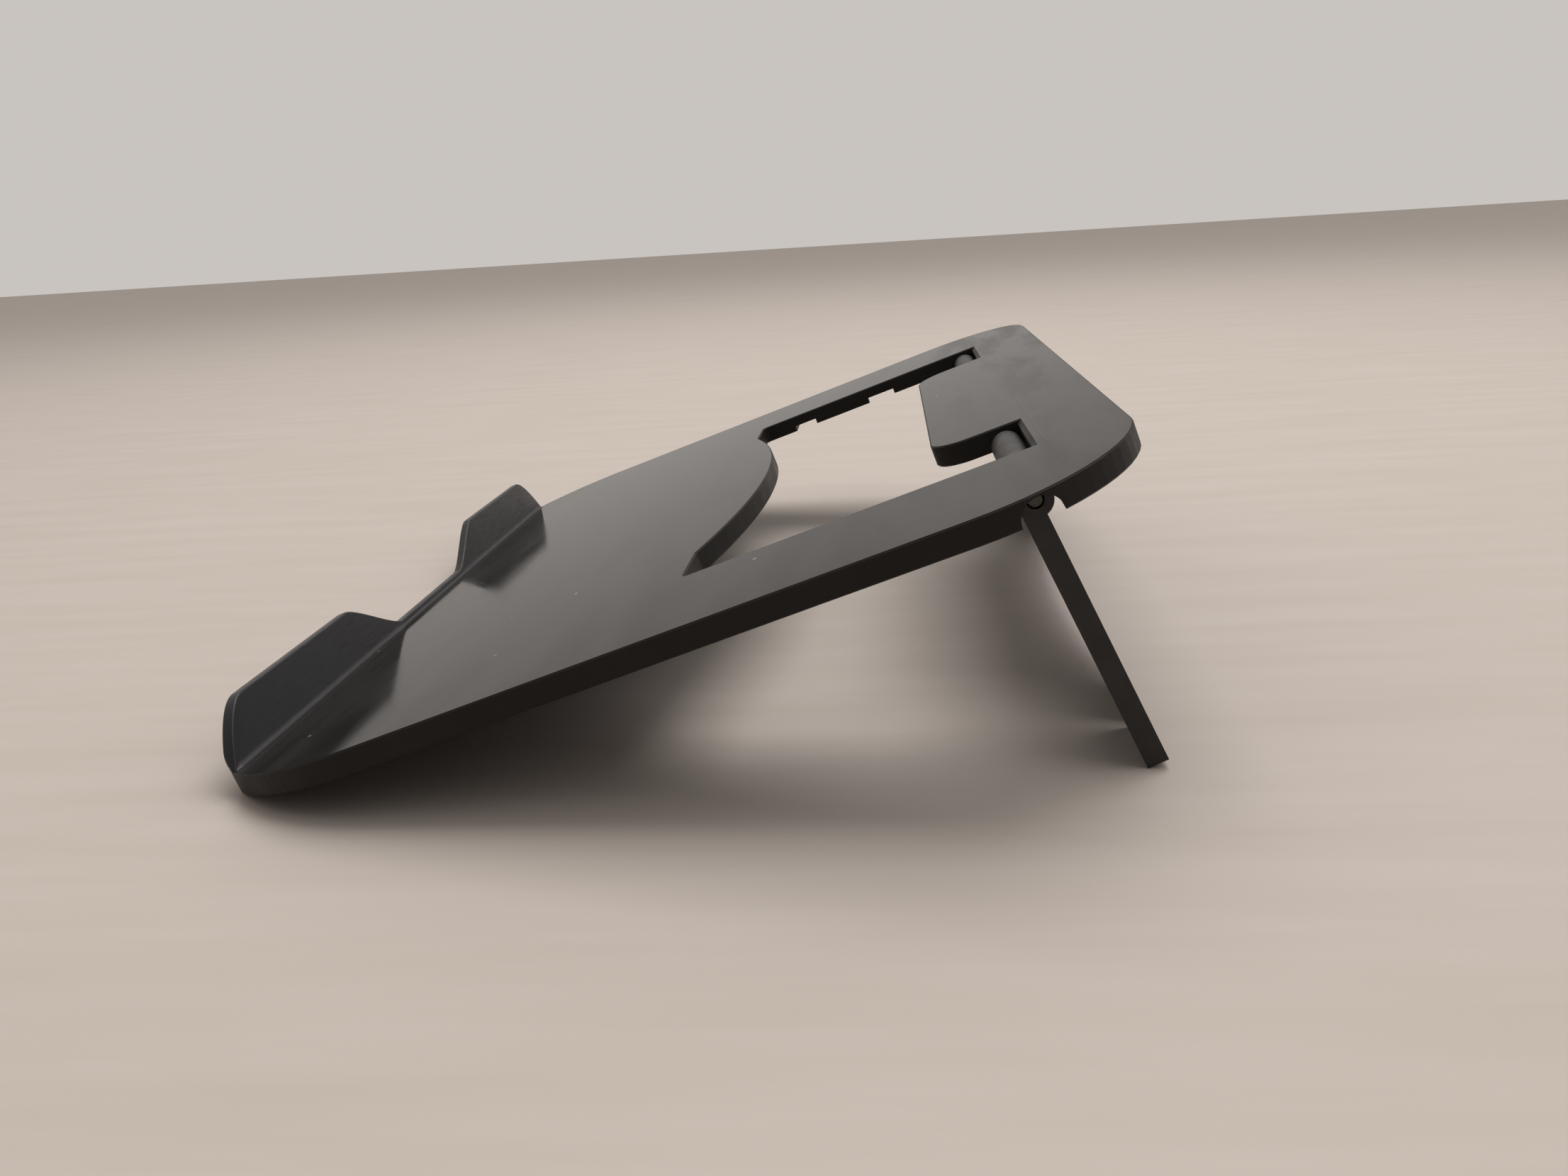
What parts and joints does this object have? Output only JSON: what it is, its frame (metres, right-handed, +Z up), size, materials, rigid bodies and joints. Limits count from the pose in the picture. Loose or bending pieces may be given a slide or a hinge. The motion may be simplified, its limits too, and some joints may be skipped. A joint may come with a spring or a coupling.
{
  "type": "tablet stand",
  "caption": "Folding desk stand for a tablet: a tilted plate with a window and a front lip, held up by a hinged leg frame.",
  "frame": {"origin": "midway across and midway front to back, on the surface it stands on", "axes": "+X across the plate, +Y from the lip towards the leg, +Z up"},
  "size_m": [0.262, 0.188, 0.0642],
  "materials": {
    "plate": "smooth black plastic face with fine scratches and dust",
    "lip": "smooth black plastic, satin",
    "leg": "dark plastic with faint print layers",
    "pin": "drawn steel rod, ends chamfered"
  },
  "bodies": {
    "deck": {"deck_plate": "plate", "front_lip": "lip", "hinge_pin_right": "pin", "hinge_pin_left": "pin"},
    "leg": {"leg_frame": "leg"}
  },
  "joints": [
    {"name": "leg_fold", "type": "hinge", "parent": "deck", "child": "leg", "pos_m": [0, 0.06943, 0.05288], "axis": [-1, 0, 0], "range_deg": [0, 96.4]}
  ]
}
